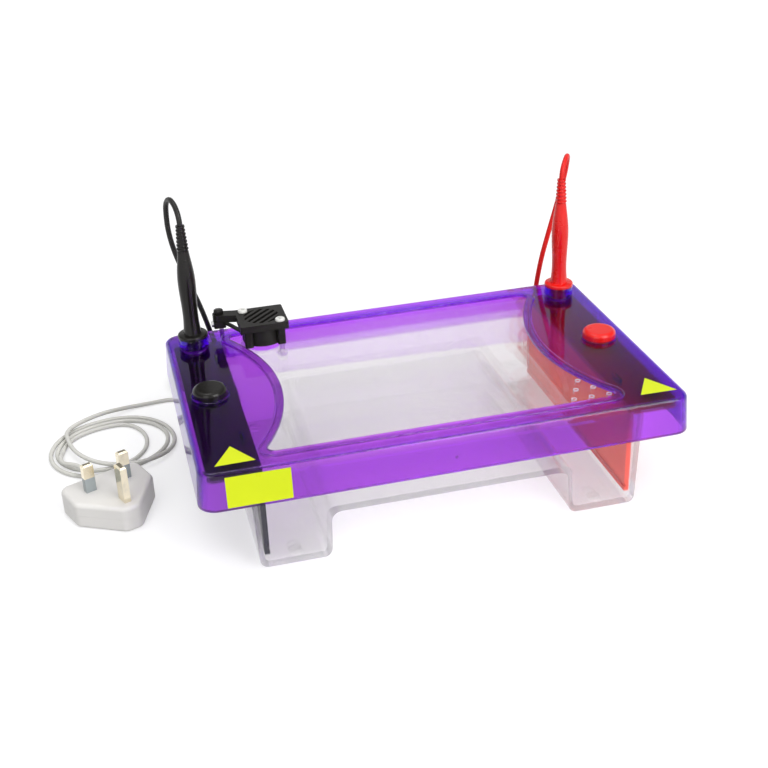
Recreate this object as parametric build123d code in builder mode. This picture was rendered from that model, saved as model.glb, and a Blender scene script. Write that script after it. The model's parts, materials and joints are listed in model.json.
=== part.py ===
from build123d import *
import os
from math import cos, degrees, pi, radians, sin, sqrt, tan

os.makedirs("parts", exist_ok=True)

# A horizontal electrophoresis tank with its lid closed, in millimetres.
# Origin: on the bench, under the middle of the tank. +X runs along the tank from the
# black end to the red end, +Y goes to the side where the leads leave, +Z is up.

# Tank: two buffer legs joined by a raised gel bed, open at the top
foot_drop = 0.5
tank_width = 164.6
base_half = 108.8
rim_height = 58.5
end_draft = 0.04
leg_length = 39.9
arch_draft = 0.043
bed_underside = 28.1
bed_thickness = 2.9
tank_wall = 2.8
leg_floor = 3.0
leg_corner = 4.8
arch_corner = 5.5
bed_edge_radius = 5.0
chamber_corner = 3.0
face_edge_radius = 1.8

# Bumper feet under the legs
foot_radius = 3.6
foot_recess = 1.0
foot_end_inset = 20.8
foot_side_inset = 12.3
fit_clearance = 0.05

# Electrode cassettes, hooked over the end walls
cassette_end_gap = 0.488
cassette_thickness = 2.9
cassette_overhang = 20.88
cassette_lift = 7.2
cassette_side_gap = 0.4
cassette_top_thickness = 3.0
cassette_top_margin = 1.6
cassette_corner = 4.0
slot_height = 2.3
slot_depth = 0.9
wire_radius = 0.16
wire_gap = 0.06

# Contact pins in the cassettes
contact_end_inset = 12.0
contact_side_inset = 13.3
pin_radius = 2.0
pin_length = 26.5
pin_flange_radius = 4.2
pin_flange_height = 1.6
stud_radius = 1.5
stud_drop = 4.6
nut_across = 5.5
nut_height = 2.4

# Lid: moulded frame with a sloping skirt
lid_headroom = 3.6
lid_end_clearance = 2.1
lid_side_clearance = 3.5
lid_plate = 2.7
lid_wall = 2.6
skirt_drop = 21.8
skirt_flare = 1.5
lid_corner = 9.0
lid_edge_radius = 2.6
window_side_margin = 13.2
window_end_margin = 34.1
window_bow = 24.2
window_corner = 5.0
bead_width = 5.0
bead_height = 0.9
boss_radius = 9.2
boss_height = 6.2
bezel_width = 1.0
bezel_height = 0.4
rest_end_inset = 23.0
rest_side_inset = 32.3
rest_length = 10.0
rest_thickness = 2.0

# Clear pane glued into a rebate under the frame
pane_thickness = 3.0
pane_overlap = 4.0
pane_sink = 1.2
vent_radius = 1.6
vent_pitch_x = 10.5
vent_pitch_y = 10.1
vent_end_inset = 17.0
vent_side_inset = 27.4
vent_rows = 3

# Press buttons
button_end_inset = 13.0
button_radius = 10.0
button_rise = 5.0
button_dome = 2.6
button_travel = 2.5
button_clearance = 0.06
button_stop_gap = 0.1
button_flange_radius = 11.3
button_flange_height = 0.9
ring_section = 0.8
ring_squeeze = 0.02

# Lead connectors standing in the lid bosses
shank_radius = 4.9
shank_clearance = 0.1
shank_below = 1.7
retainer_radius = 7.4
retainer_height = 1.6
flange_height = 2.3
handle_flare_radius = 5.6
handle_waist_radius = 4.7
handle_grip_radius = 5.2
handle_neck_radius = 3.7
handle_tip_radius = 2.7
tip_rise = 69.7
flare_rise = 1.2
waist_rise = 12.0
grip_rise = 38.5
neck_rise = 51.0
groove_count = 7
groove_pitch = 2.3
groove_width = 1.0
groove_depth = 0.45
socket_radius = 3.0
socket_length = 26.0
pin_clearance = 0.05
lead_radius = 1.65

# Demisting fan on the lid
fan_end_margin = 12.2
fan_side_margin = 1.8
fan_height = 10.5
fan_stand = 3.2
fan_duct_radius = 12.4
fan_bore_radius = 11.4
fan_hole_half_pitch = 10.0
post_radius = 2.5
screw_radius = 1.45
screw_clearance = 0.1
spacer_radius = 1.85
hub_radius = 5.0
hub_height = 6.4
blade_count = 7
blade_gap = 0.4
blade_thickness = 0.8
stator_radius = 4.6
stator_height = 2.2
strut_count = 3
strut_width = 1.6
shaft_radius = 0.75
shaft_clearance = 0.04

# Fan cover with its cable ear
cover_length = 29.6
cover_width = 27.6
cover_height = 4.5
cover_skin = 1.6
cover_corner = 1.2
grille_slots = 6
slot_pitch = 4.0
slot_width = 2.0
grille_half_width = 10.8
slot_angle = 45.0
ear_rear_inset = 0.2
ear_root = 8.3
ear_reach = 24.6
ear_offset = 12.2
ear_apex_radius = 3.9
clamp_drop = 4.1
clamp_half = 3.7
cable_radius = 1.4
cable_drop = 4.4
knob_radius = 2.9
knob_height = 2.8
head_radius = 2.95
head_height = 1.6

# Mains plug lying with its pins up
plug_reach = 80.7
plug_offset = 65.9
plug_turn = degrees(0.39)
plug_height = 16.1
plug_half_width = 25.2
plug_back = 15.0
plug_shoulder = 8.0
plug_nose = 31.8
plug_nose_half = 5.0
plug_corner = 6.5
plug_edge_radius = 2.4
line_pin_pitch = 22.2
earth_pin_offset = 22.2
line_pin_width = 6.3
line_pin_depth = 4.0
line_pin_length = 17.7
earth_pin_width = 4.0
earth_pin_depth = 8.0
earth_pin_length = 22.7
sleeve_length = 9.0
sleeve_wall = 0.45
relief_length = 20.0
relief_base_radius = 3.6
fan_cord_radius = 1.4
bench_gap = 0.1

# Free plugs on the far ends of the leads
far_plug_radius = 4.8
far_plug_length = 30.0
far_shroud_length = 9.0
far_shroud_wall = 1.1
far_pin_length = 18.0
far_tail_length = 7.0

# Winding of the leads: radius and layer at every half turn, and the tail up to the plug
coil_radii = (20.3, 19.1, 16.3, 13.4, 12.8, 16.4, 16.9, 20.6, 20.0, 18.1, 15.9, 14.2, 12.1, 15.6)
coil_layers = (0, 0, 0, 0, 1, 1, 1, 1, 2, 2, 2, 2, 3, 3)
winding_pitch = 3.85
tail_offset = 5.0
landing_run = 6.6
fan_loop_rise = 3.6

SIDES = ((-1, "black"), (1, "red"))


def end_wall(z):
    """Outer face of the end wall at a height, half the tank's length there."""
    return base_half + end_draft * (z - tank_bottom)


def arch_wall(z):
    """Face of a leg towards the arch at a height."""
    return base_half - leg_length - arch_draft * (z - tank_bottom)


# Heights worked out from the sizes above
tank_bottom = foot_drop
bed_top = bed_underside + bed_thickness
floor_top = tank_bottom + leg_floor
cassette_foot = tank_bottom + cassette_lift
cassette_top = rim_height + cassette_top_thickness
lid_under = cassette_top + lid_headroom
lid_top = lid_under + lid_plate
boss_top = lid_top + boss_height
handle_base = boss_top + flange_height
handle_tip = handle_base + tip_rise
pane_top = lid_top - pane_sink
pane_under = pane_top - pane_thickness
fan_base = pane_top + fan_stand
fan_top = fan_base + fan_height
cover_top = fan_top + cover_height
lead_on_bench = lead_radius + bench_gap
fan_cord_on_bench = fan_cord_radius + bench_gap

# Places worked out from the tank outwards: cassettes, lid, window, fan, plug
foot_x = base_half - foot_end_inset
foot_y = tank_width / 2 - foot_side_inset
cassette_face = end_wall(cassette_foot) - tank_wall - cassette_end_gap
cassette_inner = cassette_face - cassette_thickness
cassette_outer = end_wall(rim_height) + cassette_overhang
contact_x = cassette_outer - contact_end_inset
contact_y = tank_width / 2 - contact_side_inset
button_x = cassette_outer - button_end_inset
lid_length = 2 * (cassette_outer + lid_end_clearance + lid_wall)
lid_width = 2 * (tank_width / 2 + lid_side_clearance + lid_wall)
rest_x = cassette_outer - rest_end_inset
rest_y = tank_width / 2 - rest_side_inset
window_half_width = lid_width / 2 - window_side_margin
window_end = lid_length / 2 - window_end_margin
window_waist = window_end - window_bow
vent_x = window_end - vent_end_inset
vent_y = vent_side_inset - window_half_width
fan_x = fan_end_margin + fan_duct_radius - window_end
fan_y = window_half_width - fan_duct_radius - fan_side_margin
ear_apex_x = fan_x - ear_reach
ear_apex_y = fan_y + ear_offset
plug_x = ear_apex_x - plug_reach
plug_y = ear_apex_y - plug_offset


def finish(builder, name):
    """Labels a finished piece and writes its STEP file."""
    builder.part.label = name
    export_step(builder.part, f"parts/{name}.step")


# Tank shell
with BuildPart() as tank:
    with BuildSketch(Plane.XZ) as outside:
        with BuildLine():
            Polyline(
                (-end_wall(rim_height), rim_height),
                (-base_half, tank_bottom),
                (-arch_wall(tank_bottom), tank_bottom),
                (-arch_wall(bed_underside), bed_underside),
                (arch_wall(bed_underside), bed_underside),
                (arch_wall(tank_bottom), tank_bottom),
                (base_half, tank_bottom),
                (end_wall(rim_height), rim_height),
                close=True,
            )
        make_face()
        fillet(outside.vertices().group_by(Axis.Y)[0], leg_corner)
        fillet(outside.vertices().filter_by_position(Axis.Y, bed_underside - 0.01, bed_underside + 0.01), arch_corner)
    extrude(amount=tank_width / 2, both=True)
    for face in (tank.faces().sort_by(Axis.Y)[0], tank.faces().sort_by(Axis.Y)[-1]):
        fillet(face.edges().filter_by(lambda edge: edge.center().Z < rim_height - 0.1), face_edge_radius)
    with BuildSketch(Plane.XZ) as inside:
        with BuildLine():
            Polyline(
                (-end_wall(rim_height) + tank_wall, rim_height),
                (-end_wall(floor_top) + tank_wall, floor_top),
                (-arch_wall(floor_top) - tank_wall, floor_top),
                (-arch_wall(bed_top) - tank_wall, bed_top),
                (arch_wall(bed_top) + tank_wall, bed_top),
                (arch_wall(floor_top) + tank_wall, floor_top),
                (end_wall(floor_top) - tank_wall, floor_top),
                (end_wall(rim_height) - tank_wall, rim_height),
                close=True,
            )
        make_face()
        fillet(inside.vertices().group_by(Axis.Y)[0], chamber_corner)
        fillet(inside.vertices().filter_by_position(Axis.Y, bed_top - 0.01, bed_top + 0.01), bed_edge_radius)
    extrude(amount=tank_width / 2 - tank_wall, both=True, mode=Mode.SUBTRACT)
    with BuildSketch(Plane.XY.offset(tank_bottom)):
        with GridLocations(2 * foot_x, 2 * foot_y, 2, 2):
            Circle(foot_radius + fit_clearance)
    extrude(amount=foot_recess, mode=Mode.SUBTRACT)
finish(tank, "tank")

# Bumper feet pressed into the recesses
with BuildPart() as tank_feet:
    with BuildSketch():
        with GridLocations(2 * foot_x, 2 * foot_y, 2, 2):
            Circle(foot_radius)
    extrude(amount=foot_drop + foot_recess)
finish(tank_feet, "tank_feet")

# Cassettes, wires, pins and nuts, one set for each end
cassette_half_width = tank_width / 2 - tank_wall - cassette_side_gap
slot_bottom = cassette_foot + slot_height
wire_line = cassette_inner - wire_gap - wire_radius
wire_level = slot_bottom + slot_height / 2
wire_end = cassette_half_width - cassette_top_margin * 2
wire_top = cassette_top + wire_gap + wire_radius


def electrode_cassette(side):
    """Inverted L: a plate that stands in the chamber and a top that hooks over the rim."""
    with BuildPart() as cassette:
        with BuildSketch(Plane.XZ):
            with BuildLine():
                Polyline(
                    (side * cassette_inner, cassette_foot),
                    (side * cassette_face, cassette_foot),
                    (side * cassette_face, rim_height),
                    (side * cassette_outer, rim_height),
                    (side * cassette_outer, cassette_top),
                    (side * cassette_inner, cassette_top),
                    close=True,
                )
            make_face()
        extrude(amount=cassette_half_width + cassette_top_margin, both=True)
        with BuildSketch(Plane.XY.offset(cassette_foot)):
            with Locations((side * (cassette_inner + cassette_face) / 2, 0)):
                Rectangle(3 * cassette_thickness, 2 * tank_width)
                Rectangle(3 * cassette_thickness, 2 * cassette_half_width, mode=Mode.SUBTRACT)
        extrude(amount=rim_height - cassette_foot, mode=Mode.SUBTRACT)
        with BuildSketch(Plane.XZ):
            with Locations((side * cassette_inner, slot_bottom + slot_height / 2)):
                Rectangle(2 * slot_depth, slot_height)
        extrude(amount=cassette_half_width, both=True, mode=Mode.SUBTRACT)
        outer_edges = cassette.edges().filter_by(Axis.Z).group_by(Axis.X)[0 if side < 0 else -1]
        fillet(outer_edges, cassette_corner)
        with BuildSketch(Plane.XY.offset(cassette_top)):
            with Locations((side * contact_x, contact_y)):
                Circle(stud_radius + fit_clearance)
        extrude(amount=-cassette_top_thickness, mode=Mode.SUBTRACT)
    return cassette


def electrode_wire(side):
    """Fine wire along the slot, up the plate and over the top to the contact pin."""
    corner = 3 * wire_radius
    with BuildPart() as wire:
        with BuildLine() as route:
            FilletPolyline(
                (side * wire_line, -wire_end, wire_level),
                (side * wire_line, wire_end, wire_level),
                (side * wire_line, wire_end, wire_top),
                (side * (contact_x - pin_flange_radius - wire_gap), contact_y, wire_top),
                radius=corner,
            )
        with BuildSketch(Plane(origin=route.line @ 0, z_dir=route.line % 0)):
            Circle(wire_radius)
        sweep()
    return wire


def contact_pin(side):
    """Contact pin with its flange and the threaded stud that goes through the cassette."""
    with BuildPart(Plane.XY.offset(cassette_top)) as pin:
        with Locations((side * contact_x, contact_y)):
            Cylinder(pin_flange_radius, pin_flange_height, align=(Align.CENTER, Align.CENTER, Align.MIN))
            Cylinder(pin_radius, pin_length, align=(Align.CENTER, Align.CENTER, Align.MIN))
            Cylinder(stud_radius, cassette_top_thickness + stud_drop, align=(Align.CENTER, Align.CENTER, Align.MAX))
        fillet(pin.edges().sort_by(Axis.Z)[-1], pin_radius * 0.6)
    return pin


for side, colour in SIDES:
    finish(electrode_cassette(side), f"{colour}_cassette")
    finish(electrode_wire(side), f"{colour}_electrode_wire")
    finish(contact_pin(side), f"{colour}_contact_pin")

with BuildPart() as terminal_nuts:
    with BuildSketch(Plane.XY.offset(rim_height - nut_height)):
        with Locations(*[(side * contact_x, contact_y) for side, _ in SIDES]):
            RegularPolygon(nut_across / 2, 6, major_radius=False)
            Circle(stud_radius + fit_clearance, mode=Mode.SUBTRACT)
    extrude(amount=nut_height)
finish(terminal_nuts, "terminal_nuts")


def window_shape(grow=0.0):
    """Window outline: straight front and back, and ends that bow into the opening."""
    with BuildSketch() as window:
        with BuildLine():
            ThreePointArc(
                (window_end, -window_half_width), (window_waist, 0), (window_end, window_half_width)
            )
            Line((window_end, window_half_width), (-window_end, window_half_width))
            ThreePointArc(
                (-window_end, window_half_width), (-window_waist, 0), (-window_end, -window_half_width)
            )
            Line((-window_end, -window_half_width), (window_end, -window_half_width))
        make_face()
        fillet(window.vertices(), window_corner)
        if grow:
            offset(amount=grow)
    return window.sketch


# Lid frame
button_bore = button_radius + button_clearance
shank_bore = shank_radius + shank_clearance
with BuildPart() as lid_frame:
    with BuildSketch(Plane.XY.offset(lid_top - skirt_drop)):
        RectangleRounded(lid_length + 2 * skirt_flare, lid_width + 2 * skirt_flare, lid_corner + skirt_flare)
    with BuildSketch(Plane.XY.offset(lid_top)):
        RectangleRounded(lid_length, lid_width, lid_corner)
    loft(ruled=True)
    fillet(lid_frame.faces().sort_by(Axis.Z)[-1].edges(), lid_edge_radius)
    with BuildSketch(Plane.XY.offset(lid_top - skirt_drop)):
        RectangleRounded(
            lid_length + 2 * skirt_flare - 2 * lid_wall,
            lid_width + 2 * skirt_flare - 2 * lid_wall,
            lid_corner + skirt_flare - lid_wall,
        )
    with BuildSketch(Plane.XY.offset(lid_under)):
        RectangleRounded(lid_length - 2 * lid_wall, lid_width - 2 * lid_wall, lid_corner - lid_wall)
    loft(ruled=True, mode=Mode.SUBTRACT)
    with BuildSketch(Plane.XY.offset(lid_top)):
        add(window_shape(bead_width))
    extrude(amount=bead_height)
    fillet(lid_frame.faces().sort_by(Axis.Z)[-1].edges(), bead_height * 0.7)
    with BuildSketch(Plane.XY.offset(lid_top)):
        with Locations(*[(side * contact_x, contact_y) for side, _ in SIDES]):
            Circle(boss_radius)
    extrude(amount=boss_height, taper=2)
    with BuildSketch(Plane.XY.offset(lid_top)):
        with Locations(*[(side * button_x, 0) for side, _ in SIDES]):
            Circle(button_bore + bezel_width)
    extrude(amount=bezel_height, taper=12)
    with BuildSketch(Plane.XY.offset(cassette_top)):
        with GridLocations(2 * rest_x, 2 * rest_y, 2, 2):
            RectangleRounded(rest_thickness, rest_length, rest_thickness * 0.4)
    extrude(amount=lid_under - cassette_top)
    with BuildSketch(Plane.XY.offset(lid_under)):
        add(window_shape(pane_overlap + fit_clearance))
    extrude(amount=pane_top - lid_under, mode=Mode.SUBTRACT)
    with BuildSketch(Plane.XY.offset(lid_under)):
        add(window_shape())
        with Locations(*[(side * button_x, 0) for side, _ in SIDES]):
            Circle(button_bore)
        with Locations(*[(side * contact_x, contact_y) for side, _ in SIDES]):
            Circle(shank_bore)
    extrude(amount=2 * (boss_height + lid_plate), mode=Mode.SUBTRACT)
finish(lid_frame, "lid_frame")

# Pane in its rebate, with the fan's hole, the screw holes and the triangle of vent holes
screw_places = [
    (fan_x - fan_hole_half_pitch, fan_y + fan_hole_half_pitch),
    (fan_x + fan_hole_half_pitch, fan_y - fan_hole_half_pitch),
]
vent_places = [
    (vent_x + (hole - row / 2) * vent_pitch_x, vent_y - row * vent_pitch_y)
    for row in range(vent_rows)
    for hole in range(row + 1)
]
with BuildPart() as lid_window:
    with BuildSketch(Plane.XY.offset(pane_under)):
        add(window_shape(pane_overlap))
        with Locations((fan_x, fan_y)):
            Circle(fan_bore_radius, mode=Mode.SUBTRACT)
        with Locations(*screw_places):
            Circle(screw_radius + screw_clearance, mode=Mode.SUBTRACT)
        with Locations(*vent_places):
            Circle(vent_radius, mode=Mode.SUBTRACT)
    extrude(amount=pane_thickness)
finish(lid_window, "lid_window")

# Press buttons: the flange under the lid stops them from rising out
button_foot = cassette_top + button_travel + button_stop_gap
ring_level = lid_under + lid_plate / 2
ring_groove = button_radius - ring_section


def press_button(side):
    """Domed plunger with a stop flange and a groove for its ring."""
    with BuildPart(Plane.XY.offset(button_foot)) as button:
        with Locations((side * button_x, 0)):
            height = lid_top + button_rise - button_foot
            Cylinder(button_radius, height, align=(Align.CENTER, Align.CENTER, Align.MIN))
        fillet(button.edges().sort_by(Axis.Z)[-1], button_dome)
        with Locations((side * button_x, 0)):
            Cylinder(
                button_flange_radius, button_flange_height, align=(Align.CENTER, Align.CENTER, Align.MIN)
            )
        with Locations((side * button_x, 0, ring_level - button_foot)):
            Cylinder(2 * button_radius, ring_section * 1.4, mode=Mode.SUBTRACT)
            Cylinder(ring_groove, ring_section * 1.4)
    return button


def button_ring(side):
    """Rubber ring in the button's groove."""
    middle = (ring_groove + button_bore) / 2
    with BuildPart(Plane.XY.offset(ring_level)) as ring:
        with Locations((side * button_x, 0)):
            Torus(middle, (button_bore - ring_groove) / 2 - ring_squeeze)
    return ring


for side, colour in SIDES:
    finish(press_button(side), f"{colour}_button")
    finish(button_ring(side), f"{colour}_button_ring")


def lead_connector(side):
    """Moulded handle: shank through the boss, flange, waisted grip and ribbed tip."""
    foot = lid_under - shank_below
    with BuildPart() as connector:
        with BuildSketch(Plane.XZ) as half:
            with BuildLine():
                Polyline((0, foot), (shank_radius, foot), (shank_radius, boss_top))
                Polyline(
                    (shank_radius, boss_top),
                    (boss_radius, boss_top),
                    (boss_radius, handle_base - flange_height * 0.45),
                )
                ThreePointArc(
                    (boss_radius, handle_base - flange_height * 0.45),
                    (boss_radius - flange_height * 0.14, handle_base - flange_height * 0.12),
                    (boss_radius - flange_height * 0.45, handle_base),
                )
                Line(
                    (boss_radius - flange_height * 0.45, handle_base),
                    (handle_flare_radius, handle_base + flare_rise * 0.2),
                )
                Spline(
                    (handle_flare_radius, handle_base + flare_rise * 0.2),
                    (handle_waist_radius, handle_base + waist_rise),
                    (handle_grip_radius, handle_base + grip_rise),
                    (handle_neck_radius, handle_base + neck_rise),
                    (handle_tip_radius, handle_tip),
                )
                Polyline((handle_tip_radius, handle_tip), (0, handle_tip), (0, foot))
            make_face()
        revolve(axis=Axis.Z)
        for groove in range(groove_count):
            level = handle_tip - groove_pitch * (groove + 1)
            with BuildSketch(Plane.XY.offset(level)):
                Circle(boss_radius)
                share = (handle_tip - level) / (handle_tip - handle_base - neck_rise)
                radius = handle_tip_radius + share * (handle_neck_radius - handle_tip_radius)
                Circle(radius - groove_depth, mode=Mode.SUBTRACT)
            extrude(amount=groove_width, mode=Mode.SUBTRACT)
        with BuildSketch(Plane.XY.offset(foot)):
            Circle(socket_radius + fit_clearance)
        extrude(amount=socket_length, mode=Mode.SUBTRACT)
    with BuildPart() as placed:
        with Locations((side * contact_x, contact_y)):
            add(connector.part)
    return placed


def contact_socket(side):
    """Brass sleeve inside the connector, which grips the contact pin."""
    foot = lid_under - shank_below
    with BuildPart() as socket:
        with BuildSketch(Plane.XY.offset(foot)):
            with Locations((side * contact_x, contact_y)):
                Circle(socket_radius)
                Circle(pin_radius + pin_clearance, mode=Mode.SUBTRACT)
        extrude(amount=socket_length)
    return socket


for side, colour in SIDES:
    finish(lead_connector(side), f"{colour}_connector")
    finish(contact_socket(side), f"{colour}_socket")

with BuildPart() as connector_rings:
    with BuildSketch(Plane.XY.offset(lid_under - retainer_height)):
        with Locations(*[(side * contact_x, contact_y) for side, _ in SIDES]):
            Circle(retainer_radius)
            Circle(shank_radius + fit_clearance, mode=Mode.SUBTRACT)
    extrude(amount=retainer_height)
finish(connector_rings, "connector_rings")

# Fan housing: round duct with corner posts and a spider that carries the motor hub
with BuildPart() as fan_housing:
    with BuildSketch(Plane.XY.offset(fan_base)):
        with Locations((fan_x, fan_y)):
            Circle(fan_duct_radius)
            with GridLocations(2 * fan_hole_half_pitch, 2 * fan_hole_half_pitch, 2, 2):
                RectangleRounded(2 * post_radius, 2 * post_radius, post_radius * 0.5)
            Circle(fan_bore_radius, mode=Mode.SUBTRACT)
    extrude(amount=fan_height)
    with BuildSketch(Plane.XY.offset(fan_base)):
        with Locations((fan_x, fan_y)):
            Circle(stator_radius)
            with PolarLocations((fan_bore_radius + stator_radius) / 2, strut_count):
                Rectangle(fan_bore_radius - stator_radius + 1.0, strut_width)
    extrude(amount=stator_height)
    with BuildSketch(Plane.XY.offset(fan_base)):
        with Locations((fan_x, fan_y)):
            Circle(shaft_radius)
            with GridLocations(2 * fan_hole_half_pitch, 2 * fan_hole_half_pitch, 2, 2):
                Circle(screw_radius + screw_clearance)
    extrude(amount=fan_height, mode=Mode.SUBTRACT)
finish(fan_housing, "fan_housing")

rotor_base = fan_base + stator_height + blade_gap
with BuildPart() as fan_shaft:
    with BuildSketch(Plane.XY.offset(fan_base)):
        with Locations((fan_x, fan_y)):
            Circle(shaft_radius)
    extrude(amount=stator_height + blade_gap + hub_height * 0.7)
finish(fan_shaft, "fan_shaft")


def fan_blade():
    """One twisted blade, from the hub out along +X."""
    tip = fan_bore_radius - blade_gap
    with BuildPart() as blade:
        for reach, chord, pitch_angle in ((hub_radius * 0.9, hub_height * 0.9, 42), (tip, hub_height, 28)):
            lean = radians(pitch_angle)
            station = Plane(origin=(reach, 0, 0), x_dir=(0, cos(lean), sin(lean)), z_dir=(1, 0, 0))
            with BuildSketch(station):
                Rectangle(chord, blade_thickness)
        loft(ruled=True)
    return blade.part


with BuildPart(Plane.XY.offset(rotor_base)) as fan_rotor:
    with Locations((fan_x, fan_y)):
        Cylinder(hub_radius, hub_height, align=(Align.CENTER, Align.CENTER, Align.MIN))
    fillet(fan_rotor.edges().sort_by(Axis.Z)[-1], hub_height * 0.12)
    with Locations((fan_x, fan_y, hub_height / 2)):
        with PolarLocations(0, blade_count):
            add(fan_blade())
    with Locations((fan_x, fan_y)):
        Cylinder(
            shaft_radius + shaft_clearance,
            hub_height * 0.75,
            align=(Align.CENTER, Align.CENTER, Align.MIN),
            mode=Mode.SUBTRACT,
        )
finish(fan_rotor, "fan_rotor")

with BuildPart() as fan_spacers:
    with BuildSketch(Plane.XY.offset(pane_top)):
        with Locations(*screw_places):
            Circle(spacer_radius)
            Circle(screw_radius + fit_clearance / 2, mode=Mode.SUBTRACT)
    extrude(amount=fan_stand)
finish(fan_spacers, "fan_spacers")

# Fan cover with a slanted grille, and the ear that holds the cord clamp
cover_left = fan_x - cover_length / 2
cover_rear = fan_y + cover_width / 2
with BuildPart() as fan_cover:
    with BuildSketch(Plane.XY.offset(fan_top)) as plan:
        with Locations((fan_x, fan_y)):
            RectangleRounded(cover_length, cover_width, cover_corner)
        with BuildLine():
            Polyline(
                (cover_left + cover_corner, cover_rear - ear_rear_inset),
                (ear_apex_x, ear_apex_y + ear_apex_radius),
                (ear_apex_x, ear_apex_y - ear_apex_radius),
                (cover_left + cover_corner, cover_rear - ear_root),
                close=True,
            )
        make_face()
        with Locations((ear_apex_x, ear_apex_y)):
            Circle(ear_apex_radius)
    extrude(amount=cover_height)
    with BuildSketch(Plane.XY.offset(fan_top)):
        with Locations((fan_x, fan_y)):
            Circle(fan_bore_radius)
    extrude(amount=cover_height - cover_skin, mode=Mode.SUBTRACT)
    with BuildSketch(Plane.XY.offset(cover_top)):
        with Locations(Location((fan_x, fan_y), slot_angle)):
            with GridLocations(0, slot_pitch, 1, grille_slots):
                Rectangle(4 * grille_half_width, slot_width)
        with Locations((fan_x, fan_y)):
            Circle(grille_half_width, mode=Mode.INTERSECT)
    extrude(amount=-cover_skin, mode=Mode.SUBTRACT)
    with BuildSketch(Plane.XY.offset(fan_top)):
        with Locations(*screw_places):
            Circle(screw_radius + screw_clearance)
    extrude(amount=cover_height, mode=Mode.SUBTRACT)
finish(fan_cover, "fan_cover")

nut_top = pane_under
with BuildPart() as fan_screws:
    with BuildSketch(Plane.XY.offset(nut_top - nut_height * 1.2)):
        with Locations(*screw_places):
            Circle(screw_radius)
    extrude(amount=cover_top - nut_top + nut_height * 1.2)
    with BuildSketch(Plane.XY.offset(cover_top)):
        with Locations(*screw_places):
            Circle(head_radius)
    extrude(amount=head_height)
    fillet(fan_screws.faces().sort_by(Axis.Z)[-2:].edges(), head_height * 0.45)
finish(fan_screws, "fan_screws")

with BuildPart() as fan_nuts:
    with BuildSketch(Plane.XY.offset(nut_top - nut_height)):
        with Locations(*screw_places):
            RegularPolygon(nut_across / 2, 6, major_radius=False)
            Circle(screw_radius + fit_clearance, mode=Mode.SUBTRACT)
    extrude(amount=nut_height)
finish(fan_nuts, "fan_nuts")

# Cord clamp under the ear, its cap knob above and its cross screw
clamp_base = fan_top - clamp_drop
with BuildPart() as cord_clamp:
    with BuildSketch(Plane.XY.offset(clamp_base)):
        with Locations((ear_apex_x, ear_apex_y)):
            RectangleRounded(2 * clamp_half, 2 * clamp_half, clamp_half * 0.3)
    extrude(amount=clamp_drop)
finish(cord_clamp, "cord_clamp")

with BuildPart() as clamp_knob:
    with BuildSketch(Plane.XY.offset(cover_top)):
        with Locations((ear_apex_x, ear_apex_y)):
            Circle(knob_radius)
    extrude(amount=knob_height, taper=4)
    fillet(clamp_knob.faces().sort_by(Axis.Z)[-1].edges(), knob_height * 0.2)
finish(clamp_knob, "clamp_knob")

clamp_left = ear_apex_x - clamp_half
with BuildPart() as clamp_screw:
    middle = (clamp_left, ear_apex_y, clamp_base + clamp_drop / 2)
    with BuildSketch(Plane(origin=middle, x_dir=(0, 1, 0), z_dir=(-1, 0, 0))):
        Circle(clamp_drop / 2 - fit_clearance)
    extrude(amount=head_height * 0.8)
finish(clamp_screw, "clamp_screw")

# The fan's own short cable, cut flush with the clamp and with the housing's corner post
clamp_right = ear_apex_x + clamp_half
post_left = fan_x - fan_hole_half_pitch - post_radius
cable_y = fan_y + fan_hole_half_pitch
cable_top = fan_top - clamp_drop / 2
with BuildPart() as fan_cable:
    with BuildLine() as route:
        middle = (clamp_right + post_left) / 2
        FilletPolyline(
            (clamp_right - 2 * cable_radius, cable_y, cable_top + cable_drop * 0.2),
            (middle, cable_y, cable_top - cable_drop * 0.3),
            (post_left + 2 * cable_radius, cable_y, cable_top - cable_drop * 1.4),
            radius=6 * cable_radius,
        )
    with BuildSketch(Plane(origin=route.line @ 0, z_dir=route.line % 0)):
        Circle(cable_radius)
    sweep()
    with Locations((middle, cable_y, cable_top)):
        Box(post_left - clamp_right, 6 * cable_radius, 8 * cable_drop, mode=Mode.INTERSECT)
finish(fan_cable, "fan_cable")

# Mains plug: shield-shaped body, pins up, cord leaving at its straight back
plug_plane = Plane(
    origin=(plug_x, plug_y, 0),
    x_dir=(cos(radians(plug_turn)), sin(radians(plug_turn)), 0),
    z_dir=(0, 0, 1),
)
with BuildPart(plug_plane) as mains_plug:
    with BuildSketch(plug_plane) as shield:
        with BuildLine():
            Polyline(
                (-plug_half_width, plug_back),
                (-plug_half_width, -plug_shoulder),
                (-plug_nose_half, -plug_nose),
                (plug_nose_half, -plug_nose),
                (plug_half_width, -plug_shoulder),
                (plug_half_width, plug_back),
                close=True,
            )
        make_face()
        fillet(shield.vertices(), plug_corner)
    extrude(amount=plug_height)
    fillet(mains_plug.faces().sort_by(Axis.Z)[-1].edges(), plug_edge_radius)
    fillet(mains_plug.faces().sort_by(Axis.Z)[0].edges(), plug_edge_radius)
finish(mains_plug, "mains_plug")

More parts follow.
